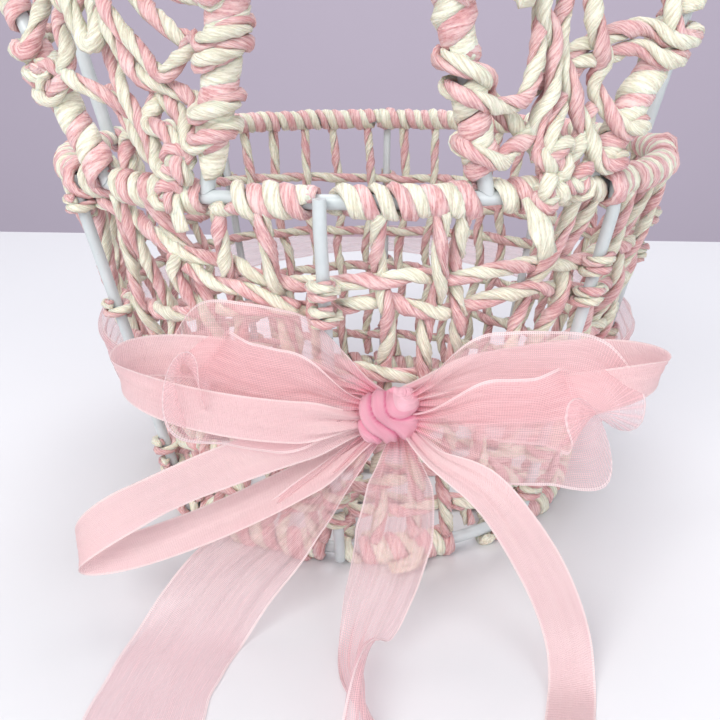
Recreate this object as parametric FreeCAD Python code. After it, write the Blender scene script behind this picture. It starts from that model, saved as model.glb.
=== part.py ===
import FreeCAD
import Part
import math
import os

Vector = FreeCAD.Vector
UP = Vector(0, 0, 1)

# Millimetres. +Z is up, -Y is the front, and the origin is the centre of the ring of contact
# that the basket stands on. Azimuth 0 is the front and grows towards +X.

# Rings and the wall between them
rim_radius = 100.0
base_radius = 77.0
wall_height = 116.0
ring_wire_radius = 1.9
wrap_radius = 4.5
stand_flat = 0.3
weld_gap = 0.15
seat_gap = 0.2

# Uprights
upright_count = 8
upright_start = -1.3
upright_radius = 1.7
upright_bend_radius = 15.0
upright_bend_below_rim = 6.0
upright_end_above_rim = 1.5
upright_end_below_base = 1.5

# Handle
handle_radius = 2.5
handle_setback = 14.3
handle_flare = 12.4
handle_leg = 52.0

# Ears: azimuth of each ear's middle, distance between its feet, and its outward lean
ear_wire_radius = 2.0
ear_wrap_radius = 4.0
ear_leg = 44.0
ear_leg_angle = 24.0
ear_side_radius = 90.0
ear_tip_radius = 16.0
ears = {
    "left": {"azimuth": -28.2, "feet": 35.0, "lean": -9.5},
    "right": {"azimuth": 30.0, "feet": 29.0, "lean": 8.5},
}
net_pairs = 5
net_first = 14.0
net_pitch = 24.0
net_angle = 42.0

# Twine
twine_radius = 2.3
net_twine_radius = 1.8
base_twine_radius = 1.9
strands_per_panel = 5
strand_lean = 0.9862  # share of the room between two feet that a strand leans into
course_heights = [20.0, 35.0, 52.0, 70.0, 85.0, 99.0]
web_pitch = 22.0
web_each_side = 2

# Ribbons
sheet_thickness = 0.6
band_height = 66.0
band_width = 25.0
wide_ribbon = 30.0
narrow_ribbon = 12.0
root_width = 3.6
root_gap = 1.2
gather_length = 24.0
knot_side = 14.5
knot_height = 65.0
knot_radii = Vector(7.5, 6.0, 7.0)
knot_seat = 0.25
table_gap = 0.4

# Places worked out from the values above
base_height = wrap_radius - stand_flat
rim_height = base_height + wall_height
upright_foot = base_height - upright_end_below_base
upright_bend = rim_height - upright_bend_below_rim
wall_slope = (rim_radius - base_radius) / (upright_bend - upright_foot)
wall_cosine = math.cos(math.atan(wall_slope))
upright_offset = (ring_wire_radius + upright_radius + 2 * weld_gap) / wall_cosine
course_depth = (twine_radius + upright_radius + weld_gap) / wall_cosine
strand_depth = course_depth + (2 * twine_radius + weld_gap) / wall_cosine
web_low = base_twine_radius + seat_gap
web_high = web_low + 2 * base_twine_radius + seat_gap
web_top = web_high + base_twine_radius
band_depth = (upright_radius + seat_gap) / wall_cosine


def at(azimuth, radius, height):
    angle = math.radians(azimuth)
    return Vector(radius * math.sin(angle), -radius * math.cos(angle), height)


def wall_radius(height, inside=0.0):
    """The distance from the axis to the uprights' middle line, less how far inside it a layer lies."""
    return base_radius + upright_offset + (height - upright_foot) * wall_slope - inside


def torus(radius, thickness, height):
    ring = Part.makeTorus(radius, thickness, Vector(0, 0, height), UP)
    ring.rotate(Vector(0, 0, height), UP, upright_start - 180.0 / upright_count)
    return ring


def rod(start, end, radius):
    return Part.makeCylinder(radius, (end - start).Length, start, end - start)


def swept(edges, radius):
    path = Part.Wire(edges)
    first = edges[0]
    start = first.valueAt(first.FirstParameter)
    along = first.tangentAt(first.FirstParameter)
    circle = Part.Wire(Part.makeCircle(radius, start, along))
    return path.makePipeShell([circle], True, False)


def arc_edge(start, middle, end):
    return Part.Arc(start, middle, end).toShape()


def line_edge(start, end):
    return Part.makeLine(start, end)


def nearest_solid(shape, place):
    return min(shape.Solids, key=lambda solid: (solid.CenterOfMass - place).Length)


# Wire frame


def upright(index, radius=upright_radius):
    azimuth = upright_start + index * 360.0 / upright_count
    foot = at(azimuth, wall_radius(upright_foot), upright_foot)
    corner = at(azimuth, rim_radius + upright_offset, upright_bend)
    end = at(azimuth, rim_radius + upright_offset, rim_height + upright_end_above_rim)
    turn = (corner - foot).getAngle(UP)
    setback = upright_bend_radius * math.tan(turn / 2)
    inward = (foot - corner).normalize()
    before = corner + inward * setback
    after = corner + UP * setback
    towards_centre = (inward + UP).normalize()
    rise = upright_bend_radius / math.cos(turn / 2) - upright_bend_radius
    middle = corner + towards_centre * rise
    edges = [line_edge(foot, before), arc_edge(before, middle, after), line_edge(after, end)]
    return swept(edges, radius)


def handle(radius=handle_radius):
    half = math.sqrt(rim_radius**2 - handle_setback**2)
    flare = math.radians(handle_flare)
    shoulder = half + handle_leg * math.sin(flare)
    shoulder_height = rim_height + handle_leg * math.cos(flare)
    bow = shoulder / math.cos(flare)
    top = shoulder_height + bow * math.sin(flare) + bow
    left = [Vector(-half, handle_setback, rim_height)]
    left.append(Vector(-shoulder, handle_setback, shoulder_height))
    right = [Vector(-place.x, place.y, place.z) for place in left]
    crown = Vector(0, handle_setback, top)
    edges = [line_edge(left[0], left[1]), arc_edge(left[1], crown, right[1])]
    edges.append(line_edge(right[1], right[0]))
    return swept(edges, radius)


class Ear:
    """One ear's plane and outline; u runs along the rim, v runs up from the rim ring."""

    def __init__(self, azimuth, feet, lean):
        self.lean = math.radians(lean)
        self.half = feet / 2
        distance = math.sqrt(rim_radius**2 - self.half**2)
        self.middle = at(azimuth, distance, rim_height)
        self.along = at(azimuth + 90, 1, 0)
        self.outward = at(azimuth, 1, 0)

    def place(self, u, v, out=0.0):
        return self.middle + self.along * u + UP * v + self.outward * out

    def leaned(self, u, v):
        cosine = math.cos(self.lean)
        sine = math.sin(self.lean)
        return (u * cosine + v * sine, v * cosine - u * sine)

    def corners(self):
        angle = math.radians(ear_leg_angle)
        side_u = self.half + ear_leg * math.sin(angle)
        side_v = ear_leg * math.cos(angle)
        centre_u = side_u - ear_side_radius * math.cos(angle)
        centre_v = side_v + ear_side_radius * math.sin(angle)
        reach = ear_side_radius - ear_tip_radius
        tip_v = centre_v + math.sqrt(reach**2 - centre_u**2)
        share = ear_side_radius / reach
        join = (centre_u - centre_u * share, centre_v + (tip_v - centre_v) * share)
        belly = (centre_u + ear_side_radius, centre_v)
        return (side_u, side_v), belly, join, (0.0, tip_v + ear_tip_radius)

    def foot(self, side):
        angle = side * math.radians(ear_leg_angle) + self.lean
        corner = self.corners()[0]
        u, v = self.leaned(side * corner[0], corner[1])
        return (u - v * math.tan(angle), 0.0)

    def outline(self):
        corner, belly, join, crown = self.corners()
        sides = []
        for side in (1, -1):
            places = [self.place(*self.foot(side))]
            for u, v in (corner, belly, join):
                places.append(self.place(*self.leaned(side * u, v)))
            sides.append(places)
        top = self.place(*self.leaned(*crown))
        right, left = sides
        edges = [line_edge(right[0], right[1]), arc_edge(right[1], right[2], right[3])]
        edges.append(arc_edge(right[3], top, left[3]))
        edges.append(arc_edge(left[3], left[2], left[1]))
        edges.append(line_edge(left[1], left[0]))
        return edges

    def tube(self, radius):
        return swept(self.outline(), radius)

    def net(self, rim_bounds):
        bounds = self.tube(ear_wrap_radius + seat_gap)
        layer = net_twine_radius + seat_gap / 2
        across = ear_side_radius * math.cos(math.radians(net_angle))
        rise = ear_side_radius * math.sin(math.radians(net_angle))
        strands = []
        for side in (1, -1):
            for step in range(net_pairs):
                height = net_first + step * net_pitch
                start = self.place(*self.leaned(-side * across, height - rise), side * layer)
                end = self.place(*self.leaned(side * across, height + rise), side * layer)
                strand = rod(start, end, net_twine_radius).cut(bounds).cut(rim_bounds)
                middle = self.place(*self.leaned(0.0, height), side * layer)
                strands.append(nearest_solid(strand, middle))
        return Part.makeCompound(strands)


# Twine


def beside_wrap(ring_radius, ring_height):
    """How far a strand's end stays above or below a ring's middle to clear its wrap."""
    edge = wall_radius(ring_height, strand_depth) + twine_radius - ring_radius
    return math.sqrt(wrap_radius**2 - edge**2) + 2 * seat_gap + twine_radius * wall_slope


def wall_strands(panel):
    top = rim_height - beside_wrap(rim_radius, rim_height)
    end_tilt = twine_radius * wall_slope
    low = max(base_height + beside_wrap(base_radius, base_height), web_top + seat_gap + end_tilt)
    pitch = 360.0 / upright_count
    foot_radius = wall_radius(low, strand_depth)
    side_by_side = math.degrees((2 * twine_radius + weld_gap) / foot_radius)
    spare = pitch / (strands_per_panel + 0.5) - side_by_side
    strands = []
    for index in range(strands_per_panel):
        share = (index + 0.75) / (strands_per_panel + 0.5)
        azimuth = upright_start + (panel + share) * pitch
        lean = strand_lean * spare / 2 * (-1) ** (index + panel)
        foot = at(azimuth - lean, foot_radius, low)
        head = at(azimuth + lean, wall_radius(top, strand_depth), top)
        strands.append(rod(foot, head, twine_radius))
    return Part.makeCompound(strands)


def base_web(height, turned):
    inside = torus(base_radius, wrap_radius + seat_gap, base_height)
    strands = []
    for step in range(-web_each_side, web_each_side + 1):
        across = step * web_pitch
        start, end = Vector(-base_radius, across, height), Vector(base_radius, across, height)
        if turned:
            start, end = Vector(across, -base_radius, height), Vector(across, base_radius, height)
        strand = rod(start, end, base_twine_radius).cut(inside)
        strands.append(nearest_solid(strand, (start + end) / 2))
    return Part.makeCompound(strands)


# Ribbons


def ribbon(stations):
    """A thin closed strip through stations, each a centre, a direction across and a width."""
    rings = []
    for index, (centre, across, width) in enumerate(stations):
        before = stations[max(index - 1, 0)][0]
        after = stations[min(index + 1, len(stations) - 1)][0]
        normal = (after - before).cross(across).normalize() * (sheet_thickness / 2)
        side = across * (width / 2)
        left, right = centre - side, centre + side
        rings.append([left - normal, right - normal, right + normal, left + normal])
    triangles = []
    for first, second in zip(rings, rings[1:]):
        for corner in range(4):
            following = (corner + 1) % 4
            triangles.append((first[corner], first[following], second[following]))
            triangles.append((first[corner], second[following], second[corner]))
    for ring in (rings[0], rings[-1]):
        triangles.append((ring[0], ring[1], ring[2]))
        triangles.append((ring[0], ring[2], ring[3]))
    faces = [Part.Face(Part.makePolygon([*corners, corners[0]])) for corners in triangles]
    solid = Part.Solid(Part.makeShell(faces))
    if solid.Volume < 0:
        solid.reverse()
    return solid


def gathered(distance, width):
    share = min(distance / gather_length, 1.0)
    return root_width + (width - root_width) * share * share * (3 - 2 * share)


def loop(root, end, belly, across, width, steps=20):
    """A bow loop from the knot to its end and back, opened by belly to each side."""
    across = Vector(across).normalize()
    apart = Vector(belly).normalize()
    stations = []
    for step in range(steps + 1):
        angle = 2 * math.pi * step / steps
        half_sine = abs(math.sin(angle / 2))
        along = half_sine**2
        sideways = math.sin(angle) * math.sqrt(half_sine)
        centre = root + (end - root) * along + belly * sideways
        centre += apart * (root_gap * math.cos(angle / 2))
        reach = along * (end - root).Length
        stations.append((centre, across, gathered(reach, width)))
    return ribbon(stations)


def tail(places, widths, turns, steps=14):
    """A hanging end through a few places, with its width and its turn about the vertical at each."""
    route = Part.BSplineCurve()
    route.interpolate(places)
    stations = []
    for step in range(steps + 1):
        share = step / steps
        centre = route.value(share * route.LastParameter)
        slot = min(int(share * (len(widths) - 1)), len(widths) - 2)
        part = share * (len(widths) - 1) - slot
        width = widths[slot] + (widths[slot + 1] - widths[slot]) * part
        turn = math.radians(turns[slot] + (turns[slot + 1] - turns[slot]) * part)
        stations.append((centre, Vector(math.cos(turn), math.sin(turn), 0), width))
    return ribbon(stations)


def knot(grown=0.0):
    ball = Part.makeSphere(1.0)
    matrix = FreeCAD.Matrix()
    matrix.scale(knot_radii.x + grown, knot_radii.y + grown, knot_radii.z + grown)
    ball = ball.transformGeometry(matrix)
    ball.translate(knot_centre)
    return ball


def from_knot(strip):
    cut = strip.cut(knot(knot_seat))
    return max(cut.Solids, key=lambda solid: solid.Volume)


def band():
    low = band_height - band_width / 2
    high = band_height + band_width / 2
    shells = []
    for outside in (band_depth, band_depth + sheet_thickness):
        radii = (wall_radius(low, -outside), wall_radius(high, -outside))
        shells.append(Part.makeCone(radii[0], radii[1], band_width, Vector(0, 0, low), UP))
    return shells[1].cut(shells[0])


def beside_knot(x, y, z):
    return knot_centre + Vector(x, y, z)


def on_table(x, y, lift=0.0):
    height = sheet_thickness / 2 + table_gap + lift
    return Vector(knot_centre.x + x, knot_centre.y + y, height)


band_front = math.sqrt(wall_radius(knot_height, -band_depth - sheet_thickness) ** 2 - knot_side**2)
knot_centre = Vector(knot_side, -band_front - knot_radii.y - seat_gap, knot_height)

parts = {}
parts["rim_ring"] = torus(rim_radius, ring_wire_radius, rim_height)
parts["base_ring"] = torus(base_radius, ring_wire_radius, base_height)
for number in range(upright_count):
    parts[f"upright_{number + 1}"] = upright(number)

rim_clear = torus(rim_radius, ring_wire_radius + weld_gap, rim_height)
parts["handle_wire"] = nearest_solid(handle().cut(rim_clear), Vector(0, 0, 2 * rim_height))
rim_wrap = torus(rim_radius, wrap_radius, rim_height).cut(rim_clear)
rim_wrap = rim_wrap.cut(handle(handle_radius + weld_gap))
rim_wrap_clear = torus(rim_radius, wrap_radius + seat_gap, rim_height)
for side, values in ears.items():
    ear = Ear(**values)
    top = ear.place(0, ear_side_radius)
    wire_clear = ear.tube(ear_wire_radius + weld_gap)
    parts[f"ear_wire_{side}"] = nearest_solid(ear.tube(ear_wire_radius).cut(rim_clear), top)
    wrap = ear.tube(ear_wrap_radius).cut(wire_clear).cut(rim_wrap_clear)
    parts[f"ear_wrap_{side}"] = nearest_solid(wrap, top)
    parts[f"ear_net_{side}"] = ear.net(rim_wrap_clear)
    rim_wrap = rim_wrap.cut(wire_clear)

base_clear = torus(base_radius, ring_wire_radius + weld_gap, base_height)
base_wrap = torus(base_radius, wrap_radius, base_height).cut(base_clear)
for number in range(upright_count):
    upright_clear = upright(number, upright_radius + weld_gap)
    rim_wrap = rim_wrap.cut(upright_clear)
    base_wrap = base_wrap.cut(upright_clear)
reach = 2 * base_radius
below_table = Part.makeBox(2 * reach, 2 * reach, reach, Vector(-reach, -reach, -reach))
parts["rim_wrap"] = rim_wrap
parts["base_wrap"] = base_wrap.cut(below_table)

for panel in range(upright_count):
    parts[f"wall_strands_{panel + 1}"] = wall_strands(panel)
for number, height in enumerate(course_heights):
    parts[f"weave_course_{number + 1}"] = torus(wall_radius(height, course_depth), twine_radius, height)
parts["base_web_lower"] = base_web(web_low, False)
parts["base_web_upper"] = base_web(web_high, True)

parts["organza_band"] = band()
parts["bow_knot"] = knot()
loops = {
    "organza_loop_left": {
        "root": beside_knot(-3, -2, 4.6),
        "end": beside_knot(-58, -10, 16),
        "belly": Vector(0, 3, 1),
        "across": Vector(0.15, 0, 1),
        "width": wide_ribbon,
    },
    "organza_loop_right": {
        "root": beside_knot(3, -3, 1.5),
        "end": beside_knot(64, -16, 7),
        "belly": Vector(0, 3.5, 2),
        "across": Vector(0.1, 0, 1),
        "width": wide_ribbon,
    },
    "narrow_loop_upper_left": {
        "root": beside_knot(-4, -2, 0),
        "end": beside_knot(-73, -14, 12),
        "belly": Vector(0, 8, 0),
        "across": UP,
        "width": narrow_ribbon,
    },
    "narrow_loop_lower_left": {
        "root": beside_knot(-3, -2, -4.4),
        "end": beside_knot(-88, -10, -42),
        "belly": Vector(0, 6, 4),
        "across": Vector(-0.35, 0, 1),
        "width": narrow_ribbon,
    },
    "narrow_loop_right": {
        "root": beside_knot(4, 1, 4),
        "end": beside_knot(71, -1, 14),
        "belly": Vector(0, 2.5, 1),
        "across": UP,
        "width": narrow_ribbon,
    },
}
for name, values in loops.items():
    parts[name] = from_knot(loop(**values))
parts["organza_tail_left"] = from_knot(
    tail(
        [
            beside_knot(-2.2, 1, -5),
            beside_knot(-15, -2, -19),
            beside_knot(-28, -5, -35),
            beside_knot(-41, -8, -50),
            on_table(-49, -16, 2.5),
            on_table(-52, -32),
            on_table(-51, -54),
            on_table(-49, -78),
        ],
        [root_width, 14, 24, 28, wide_ribbon, wide_ribbon],
        [0, 0, 0, 0, 0, 0],
    )
)
parts["organza_tail_centre"] = from_knot(
    tail(
        [
            beside_knot(2.4, -1, -5),
            beside_knot(3, -7, -23),
            beside_knot(0, -11, -41),
            beside_knot(-5, -15, -56),
            on_table(-7, -23, 1),
            on_table(-5, -38),
            on_table(-1, -56),
            on_table(2, -74),
        ],
        [root_width, 16, 15, 11, 14, 18],
        [0, 0, 0, 0, 0, 0],
    )
)
parts["narrow_tail_right"] = from_knot(
    tail(
        [
            beside_knot(5, -4, -3.5),
            beside_knot(12, -13, -5.5),
            beside_knot(24, -17, -11),
            beside_knot(33, -18, -22),
            beside_knot(42, -18, -38),
            beside_knot(48, -19, -54),
            on_table(49, -26, 0.8),
            on_table(46, -41),
            on_table(41, -66),
        ],
        [root_width, 10, narrow_ribbon, narrow_ribbon, narrow_ribbon, narrow_ribbon],
        [0, -10, -10, 0, 0, 8],
    )
)

os.makedirs("parts", exist_ok=True)
for name, shape in parts.items():
    shape.exportStep(f"parts/{name}.step")
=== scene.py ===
import math
import random
import bpy
import numpy as np
from mathutils import Matrix, Vector


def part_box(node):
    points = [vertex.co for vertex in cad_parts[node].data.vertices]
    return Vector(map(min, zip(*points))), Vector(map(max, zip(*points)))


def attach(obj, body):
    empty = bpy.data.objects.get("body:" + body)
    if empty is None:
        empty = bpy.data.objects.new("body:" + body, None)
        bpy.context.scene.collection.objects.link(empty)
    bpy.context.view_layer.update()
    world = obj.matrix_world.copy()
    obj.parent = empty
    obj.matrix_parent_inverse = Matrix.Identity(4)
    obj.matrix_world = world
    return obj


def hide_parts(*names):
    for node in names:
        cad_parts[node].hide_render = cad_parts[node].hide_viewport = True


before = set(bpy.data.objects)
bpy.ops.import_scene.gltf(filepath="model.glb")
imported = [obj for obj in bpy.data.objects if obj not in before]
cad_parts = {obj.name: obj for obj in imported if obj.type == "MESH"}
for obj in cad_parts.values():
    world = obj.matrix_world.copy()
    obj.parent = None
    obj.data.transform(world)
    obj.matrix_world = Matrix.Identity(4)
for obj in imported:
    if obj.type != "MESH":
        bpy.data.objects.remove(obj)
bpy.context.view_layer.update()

millimetre = 0.001  # lengths are in millimetres until a mesh is made; the stage and the lights are in metres


# Shader helpers

class Signal:
    # one node socket that can be used in sums
    def __init__(self, finish, socket):
        self.finish = finish
        self.socket = socket

    def sum(self, operation, first, second):
        return self.finish.node("ShaderNodeMath", {0: first, 1: second}, operation=operation)

    def __add__(self, other):
        return self.sum("ADD", self, other)

    def __radd__(self, other):
        return self.sum("ADD", other, self)

    def __sub__(self, other):
        return self.sum("SUBTRACT", self, other)

    def __rsub__(self, other):
        return self.sum("SUBTRACT", other, self)

    def __mul__(self, other):
        return self.sum("MULTIPLY", self, other)

    def __rmul__(self, other):
        return self.sum("MULTIPLY", other, self)


class Finish:
    # one material under construction
    def __init__(self, name):
        self.material = bpy.data.materials.new(name)
        self.material.use_nodes = True
        self.tree = self.material.node_tree
        self.tree.nodes.clear()

    def node(self, kind, inputs=None, output=0, **settings):
        made = self.tree.nodes.new(kind)
        for key, value in settings.items():
            setattr(made, key, value)
        for key, value in (inputs or {}).items():
            if isinstance(value, Signal):
                self.tree.links.new(value.socket, made.inputs[key])
            else:
                made.inputs[key].default_value = value
        return Signal(self, made.outputs[output] if len(made.outputs) else None)

    def attribute(self, name, output="Vector"):
        return self.node("ShaderNodeAttribute", output=output, attribute_name=name)

    def parts(self, vector):
        split = self.node("ShaderNodeSeparateXYZ", {0: vector})
        return [Signal(self, socket) for socket in split.socket.node.outputs]

    def stretch(self, vector, *scale):
        return self.node("ShaderNodeVectorMath", {0: vector, 1: scale}, operation="MULTIPLY")

    def noise(self, vector, scale, detail=3.0, rough=0.6):
        return self.node("ShaderNodeTexNoise", {"Vector": vector, "Scale": scale, "Detail": detail,
                "Roughness": rough})

    def sine(self, value):
        return self.node("ShaderNodeMath", {0: value}, operation="SINE")

    def size(self, value):
        return self.node("ShaderNodeMath", {0: value}, operation="ABSOLUTE")

    def between(self, value, low, high):
        return self.node("ShaderNodeMapRange", {"Value": value, "From Min": low, "From Max": high},
                         clamp=True, interpolation_type="SMOOTHSTEP")

    def blend(self, factor, first, second):
        first, second = ((*c, 1.0) if isinstance(c, tuple) else c for c in (first, second))
        return self.node("ShaderNodeMix", {0: factor, 6: first, 7: second}, 2, data_type="RGBA")

    def bump(self, height, strength, distance):
        return self.node("ShaderNodeBump", {"Height": height, "Strength": strength, "Distance": distance},
                         "Normal")

    def principled(self, inputs):
        return self.node("ShaderNodeBsdfPrincipled", inputs)

    def done(self, surface):
        self.node("ShaderNodeOutputMaterial", {"Surface": surface})
        return self.material

# Materials

# creamShade and the pale pink are painted shade and painted highlight of the crinkle, mixed with random tone;
# crease is painted shade in the creases
paperLook = {
    "cream": (0.85, 0.83, 0.70), "creamShade": (0.60, 0.59, 0.46), "pink": (0.60, 0.31, 0.32),
    "pinkPaleAndLit": (0.82, 0.60, 0.58), "shadedCrease": (0.38, 0.13, 0.11), "streakGrain": 2.3, "streakLength": 0.09,
    "fineGrain": 7.0, "fineLength": 0.14, "patchGrain": 0.16, "rough": 0.62, "creaseDepth": 0.0006}


def makePaperTwine():
    f = Finish("paperTwine")
    fibre = f.attribute("fibre")
    tone = f.attribute("tone", "Fac")
    streak = f.noise(f.stretch(fibre, 1.0, 1.0, paperLook["streakLength"]), paperLook["streakGrain"], 4.0)
    fine = f.noise(f.stretch(fibre, 1.0, 1.0, paperLook["fineLength"]), paperLook["fineGrain"])
    patch = f.noise(f.stretch(fibre, 0.3, 0.3, 1.0), paperLook["patchGrain"], 2.0, 0.5)
    # painted light and shade: this streak mask is high on the ridges of the relief that the bump raises and low
    # in its troughs, so cream goes to creamShade (painted shade) in the troughs and pink goes pale (painted
    # highlight) on the ridges, besides random pale and dark patches
    ridgeLight = f.between(streak, 0.42, 0.62)
    cream = f.blend(ridgeLight * 0.8 + patch * 0.35, paperLook["creamShade"], paperLook["cream"])
    pink = f.blend(ridgeLight * 0.75 + f.between(patch, 0.4, 0.75) * 0.5, paperLook["pink"], paperLook["pinkPaleAndLit"])
    dye = f.between(tone + (patch - 0.5) * 0.55 + (streak - 0.5) * 0.35, 0.36, 0.64)
    colour = f.blend(dye, cream, pink)
    # painted shade: the crease colour darkens the lowest parts of the crinkle relief, the creases where shade
    # falls
    shadedCrease = f.between(streak * 0.6 + fine * 0.4, 0.36, 0.47)
    colour = f.blend((1.0 - shadedCrease) * (0.30 + dye * 0.30), colour, paperLook["shadedCrease"])
    height = streak * 0.7 + fine * 0.3
    rough = paperLook["rough"] + fine * 0.3
    return f.done(f.principled({
        "Base Color": colour, "Roughness": rough, "Normal": f.bump(height, 0.9, paperLook["creaseDepth"]),
        "Specular IOR Level": 0.35, "Sheen Weight": 0.12, "Sheen Roughness": 0.5,
        "Subsurface Weight": 0.22, "Subsurface Radius": (1.2, 0.5, 0.3), "Subsurface Scale": 0.0012}))


wireLook = {
    "coat": (0.50, 0.545, 0.555), "pale": (0.57, 0.61, 0.62), "worn": (0.38, 0.39, 0.38), "peelGrain": 1.6,
    "peelDepth": 0.00012, "patchGrain": 0.09, "speckGrain": 0.35, "rough": 0.30}


def makeCoatedWire():
    f = Finish("coatedWire")
    perMetre = 1 / millimetre
    place = f.stretch(f.node("ShaderNodeTexCoord", output="Object"), perMetre, perMetre, perMetre)
    peel = f.noise(place, wireLook["peelGrain"])
    patch = f.noise(place, wireLook["patchGrain"])
    speck = f.between(f.noise(place, wireLook["speckGrain"], 5.0, 0.7), 0.66, 0.74)
    colour = f.blend(f.between(patch, 0.35, 0.7), wireLook["coat"], wireLook["pale"])
    colour = f.blend(speck * 0.6, colour, wireLook["worn"])
    return f.done(f.principled({
        "Base Color": colour, "Roughness": wireLook["rough"] + peel * 0.18,
        "Normal": f.bump(peel, 0.25, wireLook["peelDepth"]),
        "Coat Weight": 0.25, "Coat Roughness": 0.2, "Specular IOR Level": 0.5}))


def makeRibbonCloth(name, look):
    # the cloth attribute holds how far across and along the ribbon a point is, and how bunched it is there
    f = Finish(name)
    across, along, bunch = f.parts(f.attribute("cloth"))
    flat = f.node("ShaderNodeCombineXYZ", {0: across, 1: along, 2: 0.0})
    weft = f.size(f.sine((along + across * look["slant"]) * (math.pi / look["rib"])))
    warp = f.size(f.sine(across * (math.pi / look["thread"])))
    slub = f.noise(f.stretch(flat, 2.2, 0.10, 1.0), 1.0)
    wrinkle = f.noise(f.stretch(flat, 0.55, 0.05, 1.0), 1.0, 4.0)
    cloud = f.noise(f.stretch(flat, 0.08, 0.05, 1.0), 1.0, 2.0, 0.5)
    edge = f.between(f.size(across), look["half"] - look["selvage"], look["half"] - look["selvage"] * 0.55)
    gathered = f.between(bunch, 0.15, 0.9)
    colour = f.blend(cloud * 0.6 + slub * 0.4, look["deep"], look["pale"])
    # deeper root pink where the cloth is gathered: partly layered cloth, partly painted shade in the gathers
    # and in the knot's creases
    colour = f.blend(gathered * look["rootPink"], colour, look["root"])
    colour = f.blend(edge * look["edgeWhite"], colour, look["edge"])
    holes = weft * warp
    cover = look["cover"] + (1.0 - look["cover"]) * 0.55 * (1.0 - holes)
    cover = cover + (slub - 0.5) * look["slubCover"]
    cover = cover + edge * look["edgeCover"] + gathered * 0.4
    height = weft * look["ribHeight"] + warp * look["threadHeight"] + wrinkle * look["wrinkle"]
    normal = f.bump(height, 0.7, look["bump"])
    solid = f.principled({
        "Base Color": colour, "Roughness": look["rough"] + slub * 0.15, "Normal": normal,
        "Specular IOR Level": 0.6, "Sheen Weight": 0.3, "Sheen Roughness": 0.35,
        "Alpha": f.between(cover, 0.0, 1.0)})
    through = f.node("ShaderNodeBsdfTranslucent", {"Color": colour, "Normal": normal})
    clear = f.node("ShaderNodeBsdfTransparent")
    soft = f.node("ShaderNodeMixShader", {0: f.between(cover, 0.0, 1.0), 1: clear, 2: through})
    return f.done(f.node("ShaderNodeMixShader", {0: look["through"], 1: solid, 2: soft}))


organzaLook = {"half": 15.0, "rib": 0.42, "thread": 0.45, "slant": 0.0, "selvage": 1.0, "cover": 0.26,
               "slubCover": 0.36,
               "deep": (0.93, 0.56, 0.60), "pale": (0.97, 0.76, 0.77), "root": (0.94, 0.36, 0.50),
               "rootPink": 0.75,
               "edge": (0.97, 0.90, 0.89), "edgeWhite": 0.6, "edgeCover": 0.30, "ribHeight": 0.15,
               "threadHeight": 0.15,
               "wrinkle": 2.0, "bump": 0.00035, "rough": 0.32, "through": 0.45}
narrowLook = {"half": 6.0, "rib": 0.55, "thread": 0.4, "slant": 0.35, "selvage": 0.7, "cover": 0.86,
              "slubCover": 0.1,
              "deep": (0.86, 0.58, 0.60), "pale": (0.93, 0.72, 0.72), "root": (0.92, 0.40, 0.52),
              "rootPink": 0.7,
              "edge": (0.95, 0.80, 0.79), "edgeWhite": 0.7, "edgeCover": 0.1, "ribHeight": 0.7,
              "threadHeight": 0.3,
              "wrinkle": 0.8, "bump": 0.00025, "rough": 0.36, "through": 0.35}
# the knot's root colour is painted shade in its creases
knotLook = {"half": 30.0, "rib": 0.5, "thread": 0.6, "slant": 0.2, "selvage": 0.5, "cover": 0.9,
            "slubCover": 0.1,
            "deep": (0.94, 0.30, 0.44), "pale": (0.98, 0.56, 0.64), "root": (0.88, 0.16, 0.34),
            "rootPink": 0.85,
            "edge": (0.97, 0.70, 0.75), "edgeWhite": 0.4, "edgeCover": 0.1, "ribHeight": 0.5,
            "threadHeight": 0.3,
            "wrinkle": 2.6, "bump": 0.0005, "rough": 0.42, "through": 0.1}

paperTwine = makePaperTwine()
coatedWire = makeCoatedWire()
organzaCloth = makeRibbonCloth("organzaCloth", organzaLook)
narrowCloth = makeRibbonCloth("narrowCloth", narrowLook)
knotCloth = makeRibbonCloth("knotCloth", knotLook)
print("materials made")
# Objects, lines and frames

def addObject(name, data):
    made = bpy.data.objects.new(name, data)
    bpy.context.scene.collection.objects.link(made)
    return made


def addMesh(name, places, faces, material, smooth=True, **attributes):
    mesh = bpy.data.meshes.new(name)
    mesh.from_pydata(places, [], faces)
    for key, values in attributes.items():
        kind, field = ("FLOAT", "value") if values.ndim == 1 else ("FLOAT_VECTOR", "vector")
        mesh.attributes.new(key, kind, "POINT").data.foreach_set(field, values.ravel())
    mesh.polygons.foreach_set("use_smooth", [smooth] * len(mesh.polygons))
    mesh.materials.append(material)
    return addObject(name, mesh)


def standsFor(made, slot, *nodeNames):
    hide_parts(*nodeNames)
    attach(made, "root")
    return made


def unit(v):
    return v / np.maximum(np.linalg.norm(v, axis=-1, keepdims=True), 1e-9)


def lengthAlong(line):
    return np.concatenate([[0.0], np.cumsum(np.linalg.norm(np.diff(line, axis=0), axis=1))])


def placesOn(line, s, places):
    return np.column_stack([np.interp(places, s, line[:, k]) for k in range(3)])


def evenly(line, step):
    s = lengthAlong(line)
    count = max(3, int(round(s[-1] / step)) + 1)
    return placesOn(line, s, np.linspace(0.0, s[-1], count))


pointsPerRun = 14


def smoothRoute(points, step, closed=False):
    # a smooth line through a few chosen points
    p = np.array(points, float)
    if closed:
        a = np.vstack([p[-1:], p, p[:2]])
    else:
        a = np.vstack([2 * p[0] - p[1], p, 2 * p[-1] - p[-2]])
    t = np.linspace(0.0, 1.0, pointsPerRun, endpoint=False)[:, None]
    runs = []
    for i in range(len(a) - 3):
        q0, q1, q2, q3 = a[i:i + 4]
        runs.append(0.5 * (2 * q1 + (q2 - q0) * t + (2 * q0 - 5 * q1 + 4 * q2 - q3) * t ** 2
                           + (3 * q1 - q0 - 3 * q2 + q3) * t ** 3))
    return evenly(np.vstack(runs + [a[-2:-1]]), step)

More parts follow.
